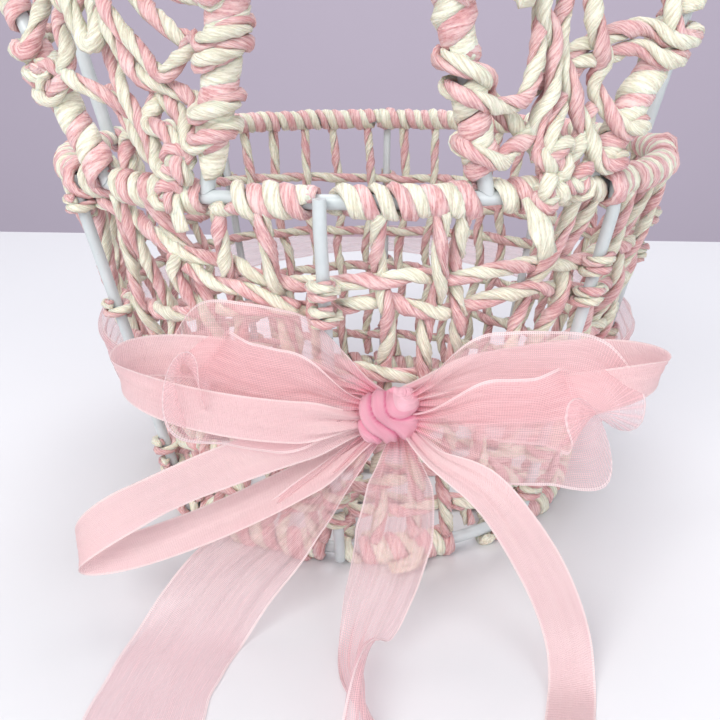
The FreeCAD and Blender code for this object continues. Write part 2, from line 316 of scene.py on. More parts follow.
def carriedSides(line):
    # two directions square to the line that turn with it as little as possible
    along = unit(np.gradient(line, axis=0))
    side = np.zeros_like(line)
    first = np.cross(along[0], (0.0, 0.0, 1.0))
    if np.linalg.norm(first) < 0.2:
        first = np.cross(along[0], (1.0, 0.0, 0.0))
    side[0] = first / np.linalg.norm(first)
    for i in range(1, len(line)):
        v = side[i - 1] - along[i] * np.dot(side[i - 1], along[i])
        side[i] = v / max(np.linalg.norm(v), 1e-9)
    return side, np.cross(along, side)


def drift(dice, s, scale):
    # a slow wander between -1 and 1
    x = np.asarray(s, float) / scale
    low = int(math.floor(x.min())) - 1
    high = int(math.ceil(x.max())) + 3
    knots = np.array([dice.uniform(-1.0, 1.0) for _ in range(low, high)])
    i = np.floor(x).astype(int)
    f = x - i
    f = f * f * (3 - 2 * f)
    return knots[i - low] * (1 - f) + knots[i - low + 1] * f


# Twine: two plies of crinkled paper twisted round each other

class PlyBag:
    # collects plies and becomes one mesh
    def __init__(self):
        self.places, self.faces, self.fibre, self.tone = [], [], [], []
        self.count = 0

    def ply(self, centre, outward, halfWide, halfThick, tone, dice, sides=9, ridge=0.11):
        n = len(centre)
        along = unit(np.gradient(centre, axis=0))
        across = unit(np.cross(along, outward))
        out = np.cross(across, along)
        s = lengthAlong(centre)
        angle = np.linspace(0.0, 2 * math.pi, sides, endpoint=False)
        phase = dice.uniform(0.0, 6.0)
        lobes = (1 + ridge * np.cos(3 * angle[None, :] + s[:, None] * 0.35 + phase)
                 + 0.5 * ridge * np.cos(5 * angle[None, :] - s[:, None] * 0.22))
        wide = np.broadcast_to(halfWide, (n,))[:, None] * lobes * np.cos(angle)
        thick = np.broadcast_to(halfThick, (n,))[:, None] * lobes * np.sin(angle)
        ring = centre[:, None, :] + across[:, None, :] * wide[:, :, None] + out[:, None, :] * thick[:, :, None]
        ends = np.vstack([centre[0] - along[0] * twine["endCap"], centre[-1] + along[-1] * twine["endCap"]])
        self.places.append(np.vstack([ring.reshape(-1, 3), ends]))
        spin = angle[None, :] + s[:, None] * 0.16
        start = dice.uniform(0.0, 400.0)
        lengths = np.broadcast_to(s[:, None] + start, (n, sides))
        grain = np.dstack([1.6 * np.cos(spin), 1.6 * np.sin(spin), lengths])
        self.fibre.append(np.vstack([grain.reshape(-1, 3), [[0, 0, start]], [[0, 0, start + s[-1]]]]))
        self.tone.append(np.full(n * sides + 2, float(tone)))
        k = np.arange(sides)
        first = (np.arange(n - 1) * sides)[:, None] + k
        second = (np.arange(n - 1) * sides)[:, None] + (k + 1) % sides
        quads = np.dstack([first, second, second + sides, first + sides]).reshape(-1, 4) + self.count
        self.faces.extend(quads.tolist())
        base, last = self.count, self.count + (n - 1) * sides
        for j in range(sides):
            self.faces.append([base + (j + 1) % sides, base + j, self.count + n * sides])
            self.faces.append([last + j, last + (j + 1) % sides, self.count + n * sides + 1])
        self.count += n * sides + 2

    def pressFlat(self):
        # nothing reaches lower than what the basket stands on
        for places in self.places:
            places[:, 2] = np.maximum(places[:, 2], twine["lowest"])

    def piece(self, name, nodeName):
        made = addMesh(name, (np.vstack(self.places) * millimetre).tolist(), self.faces, paperTwine,
                       fibre=np.vstack(self.fibre), tone=np.concatenate(self.tone))
        return standsFor(made, "paper_twine", nodeName)


# plyWide, plyThick and plyOut are shares of the twine's radius
twine = {"step": 1.5, "swell": 0.12, "wander": 0.2, "plyWide": 0.84,
         "plyThick": 0.50, "plyOut": 0.47, "endCap": 0.3, "lowest": 0.12}


def layTwine(bag, points, dice, radius, pitch, hand=1, closed=False, tones=(0.0, 1.0)):
    line = smoothRoute(points, twine["step"], closed)
    s = lengthAlong(line)
    side, up = carriedSides(line)
    line = (line + side * (twine["wander"] * drift(dice, s, 8.0))[:, None]
            + up * (twine["wander"] * drift(dice, s, 8.0))[:, None])
    turn = 2 * math.pi * (s / pitch + 0.10 * drift(dice, s, 17.0)) + dice.uniform(0.0, 2 * math.pi)
    for number, tone in enumerate(tones):
        spin = hand * turn + number * math.pi
        radial = np.cos(spin)[:, None] * side + np.sin(spin)[:, None] * up
        swell = 1 + twine["swell"] * drift(dice, s, 7.0)
        wide = twine["plyWide"] * radius * (1 + 0.18 * drift(dice, s, 5.0))
        centre = line + radial * (twine["plyOut"] * radius * swell)[:, None]
        bag.ply(centre, radial, wide, twine["plyThick"] * radius * swell, tone, dice)


flapLook = {"thick": 0.55, "sides": 12, "ridge": 0.16, "step": 1.5}


def paperFlap(bag, points, outward, wide, dice):
    # the flat, untwisted cream end of one ply
    line = smoothRoute(points, flapLook["step"])
    s = lengthAlong(line) / lengthAlong(line)[-1]
    width = wide * np.minimum(1.0, 0.35 + 1.4 * s) * (1 + 0.12 * drift(dice, s * 10, 2.0))
    outward = np.broadcast_to(np.array(outward, float), line.shape)
    bag.ply(line, outward, width, flapLook["thick"], 0, dice, flapLook["sides"], flapLook["ridge"])


def windWrap(bag, core, outward, span, wrap, dice, bulges=()):
    # plies wound side by side round a wire, between two distances along it
    s = lengthAlong(core)
    along = unit(np.gradient(core, axis=0))
    side = np.cross(along, outward)
    turns = (span[1] - span[0]) / wrap["pitch"]
    if turns < 0.6:
        return
    stepAngle = 2 * math.pi / wrap["perTurn"]
    lead = dice.uniform(0.0, 2 * math.pi)
    for number in range(2):
        phase = np.arange(0.0, turns * 2 * math.pi, stepAngle)
        place = span[0] + wrap["pitch"] * (phase / (2 * math.pi) + number / 2) + wrap["wander"] * drift(dice,
                phase, 4.5)
        place = np.clip(place, span[0], span[1])
        centre = placesOn(core, s, place)
        out = unit(placesOn(outward, s, place))
        beside = unit(placesOn(side, s, place))
        thick = wrap["halfThick"] * (1 + 0.16 * drift(dice, phase, 3.5))
        wide = wrap["halfWide"] * (1 + wrap["uneven"] * drift(dice, phase, 5.0))
        reach = wrap["inner"] + thick * 0.95 + wrap["lift"] * np.maximum(0.0, drift(dice, phase, 3.0))
        for bulge in bulges:
            near = np.exp(-((place - bulge["at"]) / bulge["width"]) ** 2)
            reach = reach + near * bulge["rise"] * np.maximum(0.0, np.cos(phase + lead))
        radial = np.cos(phase + lead)[:, None] * out + np.sin(phase + lead)[:, None] * beside
        bag.ply(centre + radial * reach[:, None], radial, wide, thick, number, dice)


knotPlan = {"points": 18, "pitch": 15.0, "depth": 0.85}


def tieKnot(bag, centre, facing, size, dice, radius, turn):
    # a small pulled-up overhand knot
    facing, up = unit(np.array(facing, float)), np.array((0, 0, 1), float)
    up = unit(up - facing * np.dot(up, facing))
    beside = np.cross(up, facing)
    c, d = math.cos(turn), math.sin(turn)
    points = []
    for step in range(knotPlan["points"]):
        t = 2 * math.pi * step / knotPlan["points"]
        x = (math.sin(t) + 2 * math.sin(2 * t)) / 3
        y = (math.cos(t) - 2 * math.cos(2 * t)) / 3
        z = -math.sin(3 * t)
        flat = size * ((x * c - y * d) * beside + (x * d + y * c) * up)
        points.append(np.array(centre) + flat + radius * knotPlan["depth"] * z * facing)
    layTwine(bag, points, dice, radius, knotPlan["pitch"], closed=True)


# The basket's wire frame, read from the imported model

def nodeBox(name):
    low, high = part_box(name)
    return np.array(low) / millimetre, np.array(high) / millimetre


rimLow, rimHigh = nodeBox("rim_ring")
baseLow, baseHigh = nodeBox("base_ring")
wireRadius = (rimHigh[2] - rimLow[2]) / 2
rimHeight = (rimHigh[2] + rimLow[2]) / 2
baseHeight = (baseHigh[2] + baseLow[2]) / 2
rimRadius = (rimHigh[0] - rimLow[0]) / 2 - wireRadius
baseRadius = (baseHigh[0] - baseLow[0]) / 2 - wireRadius
basket = {"firstUpright": -1.3, "uprights": 8, "panel": 45.0, "uprightRadius": 1.7, "uprightOffset": 3.98,
          "wallFoot": 2.7, "bendHeight": 114.2}
wallSlope = (rimRadius - baseRadius) / (basket["bendHeight"] - basket["wallFoot"])


def at(azimuth, radius, height):
    a = math.radians(azimuth)
    return np.array([radius * math.sin(a), -radius * math.cos(a), height])


def turned(azimuth):
    # the same direction, between -180 and 180 degrees
    return (azimuth + 180.0) % 360.0 - 180.0


def wallRadius(height, depth=0.0):
    # the uprights' middle line, plus how far outside it a thing lies
    climb = min(height, basket["bendHeight"]) - basket["wallFoot"]
    return baseRadius + basket["uprightOffset"] + climb * wallSlope + depth


def onWall(azimuth, height, depth=0.0):
    return at(azimuth, wallRadius(height, depth), height)


uprightAzimuths = [basket["firstUpright"] + basket["panel"] * k for k in range(basket["uprights"])]
for name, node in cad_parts.items():
    if name.startswith(("rim_ring", "base_ring", "upright_", "handle_wire", "ear_wire_")):
        for slot in node.material_slots:
            slot.link = "OBJECT"
            slot.material = coatedWire
print("wire frame finished")


# Ears, in their own planes: u runs along the rim, v up from it

earShape = {"leg": 44.0, "legAngle": math.radians(24.0), "side": 90.0, "tip": 16.0, "tipPoints": 7,
            "heights": [0, 14, 28, 40, 52, 66, 82, 98]}


class EarPlane:
    def __init__(self, azimuth, feet, lean):
        self.lean = math.radians(lean)
        self.half = feet / 2
        self.azimuth = azimuth
        self.middle = at(azimuth, math.sqrt(rimRadius ** 2 - self.half ** 2), rimHeight)
        self.along = at(azimuth + 90, 1, 0)
        self.outward = at(azimuth, 1, 0)
        # a straight leg ends at a corner, and the side's arc goes on from there round its own centre
        a = earShape["legAngle"]
        cornerU, self.cornerV = self.half + earShape["leg"] * math.sin(a), earShape["leg"] * math.cos(a)
        self.centreU = cornerU - earShape["side"] * math.cos(a)
        self.centreV = self.cornerV + earShape["side"] * math.sin(a)
        reach = earShape["side"] - earShape["tip"]
        self.top = self.centreV + math.sqrt(reach ** 2 - self.centreU ** 2) + earShape["tip"]

    def place(self, u, v, out=0.0):
        c, s = math.cos(self.lean), math.sin(self.lean)
        flatU, flatV = u * c + v * s, v * c - u * s
        return self.middle + self.along * flatU + np.array([0, 0, flatV]) + self.outward * out

    def legU(self, side, v):
        # where the leg or the side wire is at a height
        if v <= self.cornerV:
            return side * (self.half + v * math.tan(earShape["legAngle"]))
        rise = min(abs(v - self.centreV), earShape["side"] * 0.999) / earShape["side"]
        return side * (self.centreU + earShape["side"] * math.sqrt(1 - rise * rise))

    def outline(self):
        # the wire's line from the right foot over the tip to the left foot
        tip, tipV = earShape["tip"], self.top - earShape["tip"]
        right = [(self.legU(1, v), v) for v in earShape["heights"] + [self.top - 34]]
        start = math.atan2(tipV - self.centreV, -self.centreU)
        angles = np.linspace(start, math.pi - start, earShape["tipPoints"])
        tips = [(tip * math.cos(b), tipV + tip * math.sin(b)) for b in angles]
        flat = right + tips + [(-u, v) for u, v in reversed(right)]
        return smoothRoute([self.place(u, v) for u, v in flat], 1.0)


ears = {"left": EarPlane(-28.2, 35.0, -9.5), "right": EarPlane(30.0, 29.0, 8.5)}


# Wraps on the rim, the base and the ears

rimWrapLook = {"inner": 1.9, "pitch": 8.0, "halfWide": 2.15, "halfThick": 1.3, "perTurn": 13, "wander": 0.5,
               "uneven": 0.28, "lift": 0.5, "earGap": 1.7, "handleGap": 1.6, "handles": (-98.2, 98.2),
               "bulge": {"width": 3.6, "rise": 3.5}}
baseWrapLook = {"inner": 1.9, "pitch": 9.4, "halfWide": 2.3, "halfThick": 1.35, "perTurn": 13, "wander": 1.0,
                "uneven": 0.3, "lift": 1.5, "bulge": {"width": 3.4, "rise": 3.4},
                "bare": [(-6.5, -0.3), (24.0, 34.5), (96.0, 99.0), (201.0, 206.0)]}
earWrapLook = {"inner": 2.0, "pitch": 10.4, "halfWide": 2.9, "halfThick": 1.15, "perTurn": 13, "wander": 0.9,
               "uneven": 0.3, "lift": 0.9}


def spansBetween(stops, start, end):
    # the stretches that are left between the bare places
    spans, low = [], start
    for first, last in sorted(stops):
        if first > low:
            spans.append((low, first))
        low = max(low, last)
    spans.append((low, end))
    return spans


def windRing(bag, radius, height, stops, wrap, dice):
    # winds a hoop, all but the bare places, and swells over each upright
    def along(azimuth):
        return math.radians(azimuth + 180.0) * radius

    azimuths = np.linspace(-180.0, 180.0, 721)
    line = np.array([at(a, radius, height) for a in azimuths])
    outward = np.array([at(a, 1, 0) for a in azimuths])
    bulges = [dict(wrap["bulge"], at=along(turned(azimuth))) for azimuth in uprightAzimuths[1:]]
    for low, high in spansBetween(stops, -180.0, 180.0):
        windWrap(bag, line, outward, (along(low), along(high)), wrap, dice, bulges)


def wrapRim():
    dice = random.Random(11)
    bag = PlyBag()
    gap = rimWrapLook["earGap"]
    stops = [(uprightAzimuths[0] - 1.6, uprightAzimuths[0] + 1.1)]
    for ear in ears.values():
        reach = math.degrees(math.asin(ear.half / rimRadius))
        for side in (-1, 1):
            stops.append((ear.azimuth + side * reach - gap, ear.azimuth + side * reach + gap))
    for handle in rimWrapLook["handles"]:
        stops.append((handle - rimWrapLook["handleGap"], handle + rimWrapLook["handleGap"]))
    windRing(bag, rimRadius, rimHeight, stops, rimWrapLook, dice)
    for azimuth, height, size, turn in [(-23.0, 120.5, 3.6, 0.4), (30.0, 121.0, 3.8, 1.2)]:
        tieKnot(bag, at(azimuth, rimRadius + 4.6, height), at(azimuth, 1, 0), size, dice, 2.2, turn)
    flap = [at(26.0, 105.5, 120.5), at(27.0, 107.5, 116), at(28.5, 108.5, 111), at(29.5, 107.5, 106)]
    paperFlap(bag, flap, at(28, 1, 0), 2.9, dice)
    paperFlap(bag, [at(-22.0, 105.0, 121.0), at(-21.0, 106.5, 117), at(-20.4, 106.5, 112.5)], at(-21, 1, 0),
              2.0, dice)
    bag.piece("twine_rim_wrap", "rim_wrap")


def wrapBase():
    dice = random.Random(23)
    bag = PlyBag()
    stops = [(turned(low), turned(high)) for low, high in baseWrapLook["bare"]]
    windRing(bag, baseRadius, baseHeight, stops, baseWrapLook, dice)
    flap = [at(17.5, 80.5, 6.0), at(14.5, 84.5, 4.0), at(11.5, 86.0, 3.2), at(9.5, 86.5, 3.4)]
    paperFlap(bag, flap, (0, 0, 1), 3.0, dice)
    paperFlap(bag, [at(18.5, 81.0, 3.0), at(15.0, 83.5, 2.2), at(12.5, 84.5, 1.8)], (0, 0, 1), 2.4, dice)
    bag.pressFlat()
    bag.piece("twine_base_wrap", "base_wrap")


# feet: how far up the wire the wrap starts, right and left; bare: heights left bare on the right and left leg
earWraps = {"left": {"seed": 31, "feet": (5.5, 6.5), "bare": {"left": (48.5, 44.0)}},
            "right": {"seed": 37, "feet": (8.5, 5.5), "bare": {"right": (39.5, 44.0), "left": (29.0, 25.5)}}}


def wrapEar(side):
    ear, plan = ears[side], earWraps[side]
    dice = random.Random(plan["seed"])
    bag = PlyBag()
    line = ear.outline()
    total = lengthAlong(line)[-1]
    slope = 1.0 / math.cos(earShape["legAngle"])
    bare = []
    for leg, heights in plan["bare"].items():
        bare.append(tuple(h * slope if leg == "right" else total - h * slope for h in heights))
    for low, high in spansBetween(bare, plan["feet"][0], total - plan["feet"][1]):
        windWrap(bag, line, np.broadcast_to(ear.outward, line.shape), (low, high), earWrapLook, dice)
    bag.piece("twine_ear_wrap_" + side, "ear_wrap_" + side)


# Nets in the ears: each strand is a few places (u, v, out), and may wind round a leg at its start or end

netStrands = {
    "left": [
        {"start": (-1, 35), "route": [(-27, 35, 3.5), (-17, 29, 3.5), (-7, 23, 1), (-5, 18, -2), (-12, 13, -3),
                                      (-12, 4, -2)]},
        {"start": (-1, 29), "route": [(-20, 36, 3), (-21, 44, 2), (-16, 50, 1), (-13, 58, 0)]},
        {"route": [(-6, 60, 1), (-8, 50, 1), (-7, 39, 1), (-6, 32, 0), (-2, 26, 3), (1, 19, 3), (4, 13, 3),
                   (5, 6, 3), (10, 3, 3)]},
        {"end": (1, 18), "route": [(-6, 52, 3), (-2, 40, 3), (4, 28, 2), (11, 24, 0), (19, 20, 0)]},
        {"end": (1, 33), "route": [(-3, 50, 4), (1, 41, 4), (8, 32, 3), (13, 26.5, 3), (18, 29, 2),
                                   (24, 33, 1)]},
        {"end": (1, 29), "route": [(-2, 60, -1), (6, 45, -1), (14, 37, -1), (23, 30, -2)]},
        {"end": (1, 12), "route": [(2, 30, -3), (9, 21, -1), (15, 16, 1)]},
        {"route": [(0, 34, -3), (5, 24, -2), (4, 17, 2), (9, 15, 4), (13, 13, 5), (15, 8, 5), (12, 4, 5)]},
        {"route": [(-12, 27, -2), (-6, 17, -1), (0, 9, 0), (6, 1, 0)]},
        {"tones": (0.0, 0.15), "route": [(-15, 58, 4), (-12, 48, 5), (-10, 39, 5), (-6, 37, 5), (-4, 44, 4),
                                         (-5, 58, 2)]},
        {"tones": (0.0, 0.9), "route": [(-20, 60, 2), (-17, 50, 4), (-13, 46, 3), (-9, 52, 2), (-8, 62, 1)]},
        {"end": (1, 42), "route": [(-10, 68, 1), (4, 56, 1), (16, 46, 1), (24, 42, 1)]},
    ],
    "right": [
        {"route": [(-14, 58, 2), (-11, 48, 2), (-9, 41, 2), (-5, 37, 2), (-3, 31, 2), (-3, 24, 3), (-5, 17, 3),
                   (-4, 8, 4)]},
        {"end": (1, 11), "route": [(-3, 60, -1), (-1, 46, -1), (-1, 37, -1), (1, 30, 1), (4, 25, 2),
                                   (8, 19, 2)]},
        {"end": (1, 20), "route": [(0, 60, 3), (3, 46, 3), (7, 38, 3), (12, 33, 2), (12, 27, 0)]},
        {"end": (1, 37), "route": [(-6, 24, -2), (3, 30, -1), (13, 34, 0), (22, 37, 1)]},
        {"end": (1, 42), "route": [(-2, 30, -2), (8, 36, -1), (16, 40, 0), (24, 42, 1)]},
        {"start": (-1, 21), "route": [(-20, 19, 4), (-12, 21, 4), (-9, 28, 3), (-8, 35, 1), (-10, 46, 0),
                                      (-15, 58, 0)]},
        {"start": (-1, 27), "route": [(-18, 22, -2), (-12, 17, -1), (-6, 13, 1), (-1, 8, 3)]},
        {"end": (-1, 9), "route": [(5, 31, -3), (-1, 22, -1), (-6, 14, 2), (-12, 10, 3)]},
        {"route": [(9, 34, -3), (4, 26, -1), (0, 19, 3), (-2, 14, 5), (0, 5, 5)]},
        {"tones": (0.0, 0.1), "route": [(-18, 60, 3), (-15, 50, 4), (-16, 42, 4), (-19, 46, 3), (-22, 58, 1)]},
        {"route": [(12, 22, 0), (9, 14, 2), (6, 8, 4), (3, 2, 4)]},
    ]}
netLook = {"radius": 2.2, "legReach": 5.2, "turnPoints": 6, "loopTurns": 0.9, "loopRise": 7.0, "tied": 50,
           "upperHeights": [68.0, 90.0, 112.0], "upperRise": 0.62}


def legLoop(ear, side, v):
    # places that go round a leg, starting on its inner side and then in front
    reach, turns, each = netLook["legReach"], netLook["loopTurns"], netLook["turnPoints"]
    points = []
    for step in range(1, int(each * turns) + 1):
        angle = 2 * math.pi * step / each
        height = v + netLook["loopRise"] * (step / each - 0.5 * turns)
        points.append(ear.place(ear.legU(side, height) - side * reach * math.cos(angle), height,
                                reach * math.sin(angle)))
    return points


def carryUp(ear, points, place, number):
    # a strand that runs up out of the weave ends round the nearer leg
    u, v, out = place
    side = 1 if u > 0 else -1
    height = v + 16.0 + 5.0 * (number % 4)
    middle = ear.place(0.5 * (u + ear.legU(side, height)), 0.5 * (v + height), 0.5 * out)
    return points + [middle] + legLoop(ear, side, height)


def weaveUpperNet(bag, ear, dice):
    # crossed strands above the part that the weave fills
    for number, height in enumerate(netLook["upperHeights"]):
        for lean in (-1, 1):
            reach = 0.5 * (ear.legU(1, height) - ear.legU(-1, height))
            climb = netLook["upperRise"] * reach
            low, high = height - climb, min(height + climb, ear.top - 22)
            depth = 2.2 * lean * (-1) ** number
            points = legLoop(ear, -lean, low)[::-1]
            for x in (-0.62, -0.2, 0.22, 0.64):
                out = depth * math.cos(math.pi * x) + dice.uniform(-0.5, 0.5)
                points.append(ear.place(lean * reach * x, height + (high - low) / 2 * x * 0.9, out))
            points += legLoop(ear, lean, high)
            layTwine(bag, points, dice, netLook["radius"] * dice.uniform(0.93, 1.1), dice.uniform(17, 24))


# each is a place in the ear's plane, a size, a radius and a turn
netKnots = {"left": [((13.5, 6.0, 5.0), 3.8, 2.2, 0.7), ((-31.5, 33.0, 3.0), 3.6, 2.2, 2.2)],
            "right": [((0.0, 9.0, 5.0), 4.2, 2.3, 0.2), ((8.0, 4.5, 5.5), 3.6, 2.2, 2.4)]}


def weaveEarNet(side):
    ear = ears[side]
    dice = random.Random(41 if side == "left" else 43)
    bag = PlyBag()
    for number, strand in enumerate(netStrands[side]):
        route = strand["route"]
        points = [ear.place(*place) for place in route]
        if route[0][1] > netLook["tied"]:
            points = carryUp(ear, points[::-1], route[0], number)[::-1]
        if route[-1][1] > netLook["tied"]:
            points = carryUp(ear, points, route[-1], number)
        if "start" in strand:
            points = legLoop(ear, *strand["start"])[::-1] + points
        if "end" in strand:
            points = points + legLoop(ear, *strand["end"])
        radius, pitch = netLook["radius"] * dice.uniform(0.93, 1.1), dice.uniform(17, 24)
        layTwine(bag, points, dice, radius, pitch, tones=strand.get("tones", (0.0, 1.0)))
    weaveUpperNet(bag, ear, dice)
    for place, size, radius, turn in netKnots[side]:
        tieKnot(bag, ear.place(*place), ear.outward, size, dice, radius, turn)
    bag.piece("twine_ear_net_" + side, "ear_net_" + side)


wrapRim()
wrapBase()
for earSide in ears:
    wrapEar(earSide)
    weaveEarNet(earSide)
print("rim, base and ears wound")


# The wall: strands from rim to base, and the courses that tie them. Places are (azimuth, height)

wallLook = {"depth": -5.4, "weave": 2.0, "courseWeave": 1.2, "strandRadius": 2.05, "courseRadius": 2.15,
            "lashRadius": 1.45, "lashPoints": 8, "lashTurns": 1.7, "frontTurns": 2.2, "underBand": 3}
frontStrands = {
    1: [[(6.5, 118), (6.5, 106), (7.5, 96), (8.2, 86), (8, 70), (8.6, 54), (7, 38), (8, 22), (6.5, 9)],
        [(15, 118), (15.5, 106), (16, 95), (14.4, 80), (15, 62), (13.6, 44), (15.6, 26), (16, 9)],
        [(18.5, 118), (18.6, 105), (19.2, 94), (20.2, 78), (20, 62), (21.6, 46), (21.5, 32), (23.5, 9)],
        [(36.5, 118), (35.2, 107), (33.4, 94), (31.2, 80), (30.4, 64), (28.8, 48), (30, 32), (28.6, 20),
         (30.6, 9)],
        [(41, 118), (39.6, 104), (39.6, 90), (38, 74), (38, 56), (37.4, 38), (39.6, 22), (38, 9)]],
    8: [[(-9.8, 118), (-9.2, 106), (-9.4, 95), (-8.6, 78), (-8.4, 60), (-7.6, 44), (-9.6, 28), (-7.5, 9)],
        [(-3.6, 95), (-3.4, 78), (-4.2, 60), (-3.8, 42), (-4.2, 24), (-5, 9)],
        [(-16.4, 118), (-16.8, 104), (-17.6, 90), (-17, 72), (-16.4, 54), (-16.2, 38), (-16, 24), (-20.5, 9)],
        [(-29, 118), (-26.6, 108), (-23.6, 98), (-22, 86), (-23, 70), (-23.4, 54), (-24.4, 38), (-24.6, 22),
         (-26, 9)],
        [(-36.6, 118), (-35.8, 104), (-34.6, 90), (-34, 72), (-33.4, 54), (-33.6, 36), (-33.6, 22), (-36, 9)],
        [(-41.6, 118), (-41, 102), (-40.6, 86), (-40.4, 66), (-39.8, 48), (-40.6, 30), (-41.6, 9)]]}
shortStrands = {
    1: [[(31.5, 34), (36, 29), (41.6, 22)], [(24, 21), (29, 20), (34, 17), (38, 12)]],
    8: [[(-26, 104), (-26.5, 98), (-24, 90), (-22, 84)],
        [(-24, 101), (-19.6, 98), (-16.8, 96.5), (-12.2, 97), (-10, 94), (-5.7, 92)]]}
courses = [
    [(-46, 22), (-20, 17), (-6, 22), (8, 19), (26, 21), (34, 17), (46, 20), (90, 20), (135, 21), (180, 19),
     (225, 21), (270, 19)],
    [(-58, 31), (-46, 30), (-38, 33), (-30, 35.5), (-10, 29.5), (3, 30), (20, 36), (31, 34), (46, 35), (90, 36),
     (135, 34), (180, 36), (225, 34), (270, 36)],
    [(-60, 50), (-30, 54), (0, 49), (20, 53), (46, 51), (90, 53), (135, 51), (180, 53), (225, 51), (270, 52)],
    [(-60, 68), (-30, 66), (-14, 71), (0, 74), (15, 69), (30, 71), (46, 72), (90, 69), (135, 71), (180, 69),
     (225, 71), (270, 70)],
    [(-60, 79), (-46, 81), (-37, 83), (-31, 83.5), (-21, 88), (-15, 90), (-6, 91), (-1, 91), (4, 93), (8, 93.5),
     (16, 89.5), (21, 89.5), (26, 92.5), (32, 94), (45, 89), (56, 86), (90, 84), (135, 83), (180, 81),
     (225, 84), (270, 82)],
    [(-70, 103), (-58, 106), (-48, 113), (-41, 114), (-34, 111), (-31, 108), (-28, 105), (-23, 104), (-16, 102),
     (-11, 99), (-6, 96), (-1, 98.5), (5, 99), (11, 101), (17, 99), (27, 100.5), (33, 100), (42, 98.5),
     (48, 99.5), (70, 98), (100, 97), (135, 95), (160, 94), (180, 93), (205, 95), (240, 97), (270, 99)]]


def courseHeight(course, azimuth):
    places = sorted((turned(a), h) for a, h in course)
    places = [(places[-1][0] - 360.0, places[-1][1])] + places + [(places[0][0] + 360.0, places[0][1])]
    return float(np.interp(turned(azimuth), *zip(*places)))


def planStrands():
    # one list of strands for each panel between two uprights
    dice = random.Random(53)
    plans = {}
    for panel in range(1, basket["uprights"] + 1):
        if panel in frontStrands:
            plans[panel] = frontStrands[panel]
            continue
        plans[panel] = []
        for index in range(5):
            share = panel - 1 + (index + 0.75) / 5.5
            middle = basket["firstUpright"] + share * basket["panel"] + dice.uniform(-1.6, 1.6)
            zig = dice.choice((-1, 1))
            places = [(middle + zig * 0.6, 118), (middle, 106), (middle - zig * 0.6, 95)]
            for height in (78, 60, 42, 25):
                zig = -zig
                places.append((middle + zig * dice.uniform(0.4, 1.5), height))
            places.append((middle + dice.uniform(-1.5, 1.5), 9))
            plans[panel].append(places)
    return plans


strandPlans = planStrands()


def crossing(panel, index, places, number):
    # where a strand crosses a course, and whether it passes outside it (1) or inside it (-1)
    azimuths, heights = zip(*places[::-1])
    azimuth = float(np.interp(courseHeight(courses[number], places[0][0]), heights, azimuths))
    return azimuth, courseHeight(courses[number], azimuth), 1 if (index + panel + number) % 2 else -1


def crossings(number):
    # every strand that a course meets, in order round the wall
    found = []
    for panel, plan in strandPlans.items():
        for index, places in enumerate(plan):
            azimuth, height, sign = crossing(panel, index, places, number)
            if height < places[0][1]:
                found.append((turned(azimuth), sign))
    return sorted(found)


def makeWall():
    for panel, plan in strandPlans.items():
        dice = random.Random(60 + panel)
        bag = PlyBag()
        for index, places in enumerate(plan):
            ties = sorted(crossing(panel, index, places, number)[1:] for number in range(len(courses)))
            levels = [0.0] + [height for height, sign in ties] + [rimHeight]
            depths = [wallLook["depth"] + wallLook["weave"] * sign for height, sign in ties]
            depths = [wallLook["depth"] * 0.35] + depths + [wallLook["depth"] * 0.45]
            line = smoothRoute([(a, h, 0.0) for a, h in places], 5.0)
            points = [onWall(a, h, float(np.interp(h, levels, depths))) for a, h, unused in line]
            radius, pitch = wallLook["strandRadius"] * dice.uniform(0.92, 1.12), dice.uniform(16, 24)
            layTwine(bag, points, dice, radius, pitch, dice.choice((1, 1, -1)))
        for places in shortStrands.get(panel, []):
            line = smoothRoute([(a, h, 0.0) for a, h in places], 5.0)
            points = [onWall(a, h, -2.6 + 0.8 * math.sin(k)) for k, (a, h, unused) in enumerate(line)]
            layTwine(bag, points, dice, wallLook["strandRadius"], 18)
        bag.piece("twine_wall_" + str(panel), "wall_strands_" + str(panel))


def lashUpright(bag, azimuth, height, dice, turns):
    # a few turns of twine round an upright where a course meets it
    points = []
    reach = basket["uprightRadius"] + wallLook["lashRadius"] + 0.1
    each = wallLook["lashPoints"]
    for step in range(int(each * turns) + 1):
        angle = math.pi + 2 * math.pi * step / each
        middle = onWall(azimuth, height + 2.9 * (step / (each * turns) - 0.5) * turns, 0.0)
        points.append(middle + at(azimuth, reach * math.cos(angle), 0) + at(azimuth + 90,
                reach * math.sin(angle), 0))
    layTwine(bag, points, dice, wallLook["lashRadius"], 12)


def makeCourses():
    for number, course in enumerate(courses):
        dice = random.Random(80 + number)
        bag = PlyBag()
        ties = crossings(number)
        points = []
        for k, (azimuth, sign) in enumerate(ties):
            following = ties[(k + 1) % len(ties)][0] + (360.0 if k + 1 == len(ties) else 0.0)
            depth = wallLook["depth"] - sign * wallLook["courseWeave"] - 0.3
            points.append(onWall(azimuth, courseHeight(course, azimuth), depth))
            if following - azimuth > 3.0:
                middle = (azimuth + following) / 2
                points.append(onWall(middle, courseHeight(course, middle), wallLook["depth"] + 0.4))
        layTwine(bag, points, dice, wallLook["courseRadius"], 21, closed=True)
        # the band covers one course, which has no turns round the uprights
        for azimuth in [] if number == wallLook["underBand"] else uprightAzimuths:
            turns = wallLook["frontTurns" if (number, azimuth) == (1, uprightAzimuths[0]) else "lashTurns"]
            lashUpright(bag, azimuth, courseHeight(course, azimuth), dice, turns)
        bag.piece("twine_course_" + str(number + 1), "weave_course_" + str(number + 1))


webLook = {"radius": 1.85, "pitch": 22.0, "each": 2, "low": 2.1, "high": 6.1, "reach": 72.3, "past": 1.5}


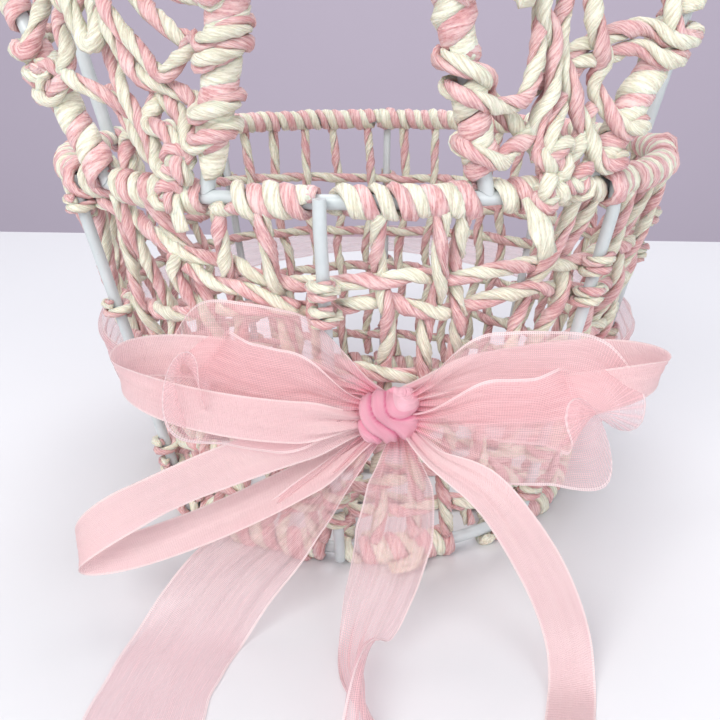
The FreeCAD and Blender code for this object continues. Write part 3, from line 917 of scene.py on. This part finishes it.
def makeBaseWeb(name, crosswise, height):
    dice = random.Random(95 + crosswise)
    bag = PlyBag()
    for step in range(-webLook["each"], webLook["each"] + 1):
        across = step * webLook["pitch"]
        reach = math.sqrt((webLook["reach"] + webLook["past"]) ** 2 - across ** 2)
        points = []
        for k, x in enumerate(np.linspace(-reach, reach, 9)):
            wave = across + (dice.uniform(-1.2, 1.2) if 0 < k < 8 else 0.0)
            z = height + 0.15 * math.sin(k * 2.1)
            points.append((wave, x, z) if crosswise else (x, wave, z))
        layTwine(bag, points, dice, webLook["radius"], 17)
    bag.pressFlat()
    bag.piece("twine_" + name, name)


makeWall()
makeCourses()
makeBaseWeb("base_web_lower", False, webLook["low"])
makeBaseWeb("base_web_upper", True, webLook["high"])
print("wall and base woven")


# Ribbons

ribbonLook = {"rootWidth": 3.6, "rootGap": 1.2, "layeredAndShadedReach": 16.0, "lowest": 0.35, "onTable": 0.7,
              "loopSteps": 120}
knotLow, knotHigh = nodeBox("bow_knot")
knotCentre = (knotLow + knotHigh) / 2


def ribbonSheet(nodeName, centres, across, widths, look, dice, folds, ripple, outward=None):
    # a strip along a line; where it is drawn in, its spare width goes into folds
    full, count = look["full"], look["count"]
    centres, across, widths = (np.array(values, float) for values in (centres, across, widths))
    s = lengthAlong(centres)
    along = unit(np.gradient(centres, axis=0))
    normal = unit(np.cross(along, across))
    if outward is not None:
        normal = normal * np.sign(np.sum(normal * outward, axis=1, keepdims=True))
    lateral = unit(np.cross(normal, along))
    lateral = lateral * np.sign(np.sum(lateral * across, axis=1, keepdims=True))
    v = np.linspace(-0.5, 0.5, count)
    spare = np.sqrt(np.maximum(0.0, (full / widths) ** 2 - 1.0))
    height = np.minimum(widths * spare / (2.2 * math.pi * folds) * 1.4, look["foldLimit"])
    phase = 0.9 * drift(dice, s, 30.0) + dice.uniform(0, 6)
    bend = 0.35 * drift(dice, s, 18.0)
    wave = np.sin(2 * math.pi * folds * (v[None, :] + 0.12 * bend[:, None]) + phase[:, None])
    fine = np.sin(2 * math.pi * folds * 2.3 * v[None, :] + 1.7 * phase[:, None] + 2.0)
    lift = height[:, None] * (0.75 * wave + 0.3 * fine)
    for j in range(count):
        lift[:, j] += ripple * 0.5 * (drift(random.Random(int(j / 3)), s + 3.0 * j, 16.0))
    lift += ripple * drift(dice, s, 22.0)[:, None] * np.sin(math.pi * v)[None, :] * 1.4
    if outward is not None:
        lift = lift + height[:, None]
    edgeWave = 1 + look["edgeWave"] * drift(dice, s, 9.0)
    sideways = v[None, :] * (widths * edgeWave)[:, None]
    grid = centres[:, None, :] + lateral[:, None, :] * sideways[:, :, None] + normal[:, None, :] * lift[:, :,
            None]
    # the pink is deepest where the cloth is gathered near the knot: partly the layered sheer cloth, partly
    # painted shade in the gathers
    nearest = s if look.get("free") else np.minimum(s, s[-1] - s)
    bunch = np.clip(1.0 - widths / full, 0.0, 1.0) * np.exp(-nearest / ribbonLook["layeredAndShadedReach"])
    columns = (v[None, :] * full, s[:, None], bunch[:, None])
    cloth = np.dstack([np.broadcast_to(column, grid.shape[:2]) for column in columns])
    first = (np.arange(len(s) - 1) * count)[:, None] + np.arange(count - 1)
    faces = np.dstack([first, first + 1, first + count + 1, first + count]).reshape(-1, 4)
    grid[:, :, 2] = np.maximum(grid[:, :, 2], ribbonLook["lowest"])
    made = addMesh(nodeName + "_ribbon", (grid.reshape(-1, 3) * millimetre).tolist(), faces.tolist(),
                   look["material"], cloth=cloth.reshape(-1, 3))
    return standsFor(made, look["slot"], nodeName), s[-1]


organza = {"full": 30.0, "count": 46, "foldLimit": 2.6, "edgeWave": 0.03, "material": organzaCloth,
           "slot": "organza", "loopFolds": 4, "loopRipple": 0.5}
narrow = {"full": 12.0, "count": 20, "foldLimit": 1.4, "edgeWave": 0.01, "material": narrowCloth,
          "slot": "narrow_ribbon", "loopFolds": 2, "loopRipple": 0.25}


def besideKnot(x, y, z):
    return knotCentre + np.array([x, y, z], float)


def gathered(distance, width, gather):
    share = min(distance / gather, 1.0)
    return ribbonLook["rootWidth"] + (width - ribbonLook["rootWidth"]) * share * share * (3 - 2 * share)


# a loop goes out as its back pass and returns as its front pass; each says which way the strip lies there
loops = {
    "organza_loop_left": {
        "cloth": organza, "gather": 26.0, "root": (-3, 0, 4.0), "end": (-53, -7, 15), "belly": (0, 3.0, 4.0),
        "back": (0.15, 0, 1), "far": (-0.45, 0.82, -0.35), "front": (0.15, 0, 1)},
    "organza_loop_right": {
        "cloth": organza, "gather": 26.0, "root": (3, -1, 1.5), "end": (53, -11, 8), "belly": (0, 2.5, 5.0),
        "back": (0.1, 0, 1), "far": (0.78, 0.62, -0.15), "front": (0.1, 0, 1)},
    "narrow_loop_upper_left": {
        "cloth": narrow, "gather": 20.0, "root": (-4, 0, 0), "end": (-67, -12, 16), "belly": (0, 7.0, 4.5),
        "back": (0, 0, 1), "far": (0, -0.45, 0.9), "front": (0, 0, 1)},
    "narrow_loop_lower_left": {
        "cloth": narrow, "gather": 20.0, "root": (-3, 0, -4.4), "end": (-86, -11, -41),
        "belly": (1.5, 3.0, -9.0),
        "back": (-0.2, 0.85, 0.5), "far": (-0.3, 0.8, 0.35), "front": (-0.35, 0, 1)},
    "narrow_loop_right": {
        "cloth": narrow, "gather": 20.0, "root": (4, 2, 4), "end": (68, 0, 15), "belly": (0, 4.0, 3.0),
        "back": (0, 0, 1), "far": (0.1, -0.6, 0.8), "front": (0, 0, 1)}}


def makeLoop(name, plan, dice):
    root, end = besideKnot(*plan["root"]), besideKnot(*plan["end"])
    belly = np.array(plan["belly"], float)
    lies = unit(np.array([plan["back"], plan["back"], plan["far"], plan["front"], plan["front"]], float))
    reach = end - root
    cloth, steps = plan["cloth"], ribbonLook["loopSteps"]
    centres, widths, sides = [], [], []
    for step in range(steps + 1):
        angle = 2 * math.pi * step / steps
        half = abs(math.sin(angle / 2))
        share = half ** 2
        centre = root + reach * share + belly * math.sin(angle) * math.sqrt(half)
        centres.append(centre + unit(belly) * ribbonLook["rootGap"] * math.cos(angle / 2))
        widths.append(gathered(share * np.linalg.norm(reach), cloth["full"], plan["gather"]))
        sides.append([np.interp(step / steps, (0.0, 0.32, 0.5, 0.68, 1.0), lies[:, k]) for k in range(3)])
    return ribbonSheet(name, centres, sides, widths, cloth, dice, cloth["loopFolds"], cloth["loopRipple"])


# places hang beside the knot first, and then lie on the table (the third number there is a lift);
# widths and turns are spread evenly along the tail
tails = {
    "organza_tail_left": {
        "cloth": organza, "folds": 3, "fold": 1.0, "widths": [3.6, 12, 22, 28, 30, 30, 30], "turns": [0, 0],
        "beside": [(-2.2, 2, -5), (-15, -2, -19), (-29, -5, -35), (-44, -8, -50)],
        "onTable": [(-54, -17, 2.5), (-58, -34, 0), (-58, -55, 0), (-57, -78, 0)]},
    "organza_tail_centre": {
        "cloth": organza, "folds": 4, "fold": 1.3, "widths": [3.6, 17, 21, 19, 17, 16, 16, 17, 19],
        "turns": [0, 0, 0, 10, 35, 80, 120, 155, 170],
        "beside": [(2.4, 1, -5), (3, -7, -23), (0, -11, -41), (-5, -15, -56)],
        "onTable": [(-7, -23, 4), (-5, -38, 7), (-2, -56, 4), (-1, -74, 1)]},
    "narrow_tail_right": {
        "cloth": narrow, "folds": 2, "fold": 1.4, "widths": [3.6, 10, 12, 12, 12, 12],
        "turns": [0, -10, -10, 0, 0, 8],
        "beside": [(5, -3, -3.5), (12, -13, -5.5), (24, -17, -11), (33, -18, -22), (42, -18, -38),
                   (48, -19, -54)],
        "onTable": [(49, -26, 0.8), (46, -41, 0), (41, -66, 0)]}}


def makeTail(name, plan, dice):
    places = [besideKnot(*place) for place in plan["beside"]]
    for x, y, lift in plan["onTable"]:
        places.append(besideKnot(x, y, 0))
        places[-1][2] = ribbonLook["onTable"] + lift
    line = smoothRoute(places, 1.5)
    share = np.linspace(0, 1, len(line))
    widths = np.interp(share, np.linspace(0, 1, len(plan["widths"])), plan["widths"])
    turns = np.radians(np.interp(share, np.linspace(0, 1, len(plan["turns"])), plan["turns"]))
    along = unit(np.gradient(line, axis=0))
    level = unit(np.array([1.0, 0.0, 0.0]) - along * along[:, :1])
    across = level * np.cos(turns)[:, None] + np.cross(along, level) * np.sin(turns)[:, None]
    look = dict(plan["cloth"], foldLimit=plan["fold"], free=True)
    return ribbonSheet(name, line, across, widths, look, dice, plan["folds"], 0.4)


# widths and heights are given at angles round the basket, starting from the knot
bandLook = {
    "clear": 2.1, "knotLift": 4.5, "knotReach": 9.0,
    "widths": [(0, 5), (10, 12), (30, 18), (60, 19), (100, 18), (140, 17), (172, 12), (185, 12), (215, 16),
               (260, 18), (300, 19), (330, 18), (350, 12), (360, 5)],
    "heights": [(0, 65), (25, 62), (50, 58), (90, 57), (130, 62), (172, 64), (185, 63), (215, 62), (265, 57),
                (305, 58), (335, 62), (360, 65)]}


def makeBand():
    dice = random.Random(131)
    start = math.degrees(math.atan2(knotCentre[0], -knotCentre[1]))
    angles = np.linspace(2.0, 358.0, 400)
    widths = np.interp(angles, *zip(*bandLook["widths"]))
    heights = np.interp(angles, *zip(*bandLook["heights"]))
    centres, across, outward = [], [], []
    for t, h in zip(angles, heights):
        near = math.exp(-(min(t, 360.0 - t) / bandLook["knotReach"]) ** 2)
        centres.append(onWall(start + t, h, bandLook["clear"] + bandLook["knotLift"] * near))
        across.append(onWall(start + t, h + 10, 0.0) - onWall(start + t, h, 0.0))
        outward.append(at(start + t, 1, 0))
    return ribbonSheet("organza_band", centres, across, widths, organza, dice, 4, 0.25, np.array(outward))


knotShape = {"radii": np.array([8.0, 7.0, 7.5]), "lift": np.array([0.0, -1.3, 0.3]), "square": 2.8,
             "size": 0.87,
             "rings": 46, "around": 72}


def makeKnot():
    # the ribbon that crosses over the middle of the bow, drawn tight into pleats
    rings, around, square = knotShape["rings"], knotShape["around"], knotShape["square"]
    places, cloth, faces = [], [], []
    for i in range(rings + 1):
        lat = math.pi * (i / rings - 0.5)
        for j in range(around):
            lon = 2 * math.pi * j / around
            p = np.array([math.cos(lat) * math.cos(lon), math.cos(lat) * math.sin(lon), math.sin(lat)])
            swirl = 1.3 * p[2] + 0.55 * math.sin(2.2 * p[0] + 1.0) + 0.35 * math.sin(3.1 * p[2] - 1.7 * p[0])
            shadedCrease = (1 - abs(math.sin(3.1 * p[0] + 2.3 * swirl))) ** 3
            pleat = 0.08 - 0.20 * shadedCrease + math.sin(17.0 * p[0] + 6.0 * swirl + 1.0) * 0.03
            squared = (abs(p[0]) ** square + abs(p[1]) ** square + abs(p[2]) ** square) ** (-1 / square)
            pinch = 1 - 0.10 * math.exp(-((p[2] - 0.1) / 0.35) ** 2) * (1 - abs(p[0]))
            side = 1 + 0.08 * math.sin(2.0 * lon + 0.7)
            r = (knotShape["size"] + pleat) * pinch * side * squared
            places.append(knotCentre + knotShape["lift"] + p * knotShape["radii"] * r)
            # the third number puts the deep root colour into the creases: painted shade
            cloth.append([14 * (swirl + 1.6 * p[0]), 10 * p[2], 0.12 + 0.85 * shadedCrease])
            if i < rings:
                a, b = i * around + j, i * around + (j + 1) % around
                faces.append([a, b, b + around, a + around])
    made = addMesh("bow_knot_wrap", (np.array(places) * millimetre).tolist(), faces, knotCloth,
                   cloth=np.array(cloth))
    return standsFor(made, "knot_ribbon", "bow_knot")


knot = makeKnot()
bandMade, bandLength = makeBand()
bandLength * millimetre
for number, (name, plan) in enumerate(loops.items()):
    made, length = makeLoop(name, plan, random.Random(101 + number))
    plan["cloth"]["full"] * millimetre
    length * millimetre
for number, (name, plan) in enumerate(tails.items()):
    made, length = makeTail(name, plan, random.Random(121 + number))
    plan["cloth"]["full"] * millimetre
    length * millimetre
print("ribbons tied")


# Floor, backdrop, light and camera

stageLook = {"floor": (0.72, 0.73, 0.75), "wall": (0.50, 0.44, 0.53), "floorEnd": 0.36, "wallAt": 1.5}


def plainMaterial(name, colour, rough):
    f = Finish(name)
    grain = f.noise(f.node("ShaderNodeTexCoord", output="Object"), 6.0)
    shade = f.blend(grain, colour, tuple(c * 0.97 for c in colour))
    return f.done(f.principled({"Base Color": shade, "Roughness": rough, "Specular IOR Level": 0.3}))


def stageSheet(name, corners, material):
    addMesh(name, corners, [[0, 1, 2, 3]], material, smooth=False)


end, back = stageLook["floorEnd"], stageLook["wallAt"]
stageSheet("floor", [(-4, -4, 0), (4, -4, 0), (4, end, 0), (-4, end, 0)],
           plainMaterial("paleFloor", stageLook["floor"], 0.35))
stageSheet("backdrop", [(-5, back, -2), (5, back, -2), (5, back, 3), (-5, back, 3)],
           plainMaterial("paleBackdrop", stageLook["wall"], 0.8))


def softLight(name, place, aimHeight, size, power, colour):
    lamp = bpy.data.lights.new(name, "AREA")
    lamp.shape, lamp.size, lamp.energy, lamp.color = "DISK", size, power, colour
    made = addObject(name, lamp)
    made.location = place
    made.rotation_mode = "QUATERNION"
    made.rotation_quaternion = (Vector((0, 0, aimHeight)) - Vector(place)).to_track_quat("-Z", "Y")


softLight("keyLight", (-0.6, -1.3, 1.1), 0.08, 1.1, 22.0, (1.0, 0.99, 0.97))
softLight("fillLight", (1.0, -1.3, 0.7), 0.1, 1.2, 11.0, (0.98, 0.985, 1.0))
softLight("topLight", (0.1, 0.5, 1.5), 0.1, 1.2, 13.0, (1.0, 1.0, 1.0))

world = bpy.data.worlds.new("softRoom")
world.use_nodes = True
world.node_tree.nodes["Background"].inputs["Color"].default_value = (0.93, 0.94, 1.0, 1.0)
world.node_tree.nodes["Background"].inputs["Strength"].default_value = 0.62
bpy.context.scene.world = world
bpy.context.scene.view_settings.view_transform = "Standard"

cameraLook = {"place": (23.3, -286.0, 157.1), "yaw": -5.116, "pitch": 22.563, "roll": -0.4, "lens": 39.12}


def placeCamera():
    yaw, pitch, roll = (math.radians(cameraLook[k]) for k in ("yaw", "pitch", "roll"))
    forward = Vector((math.sin(yaw) * math.cos(pitch), math.cos(yaw) * math.cos(pitch), -math.sin(pitch)))
    right = Vector((math.cos(yaw), -math.sin(yaw), 0))
    up = right.cross(forward)
    right, up = right * math.cos(roll) + up * math.sin(roll), up * math.cos(roll) - right * math.sin(roll)
    lens = bpy.data.cameras.new("camera")
    lens.sensor_width, lens.lens = 36.0, cameraLook["lens"]
    lens.clip_start, lens.clip_end = 0.01, 20.0
    made = addObject("camera", lens)
    turn = Matrix((right, up, -forward)).transposed()
    made.matrix_world = Matrix.Translation(Vector(cameraLook["place"]) * millimetre) @ turn.to_4x4()
    bpy.context.scene.camera = made


placeCamera()
print("scene ready")
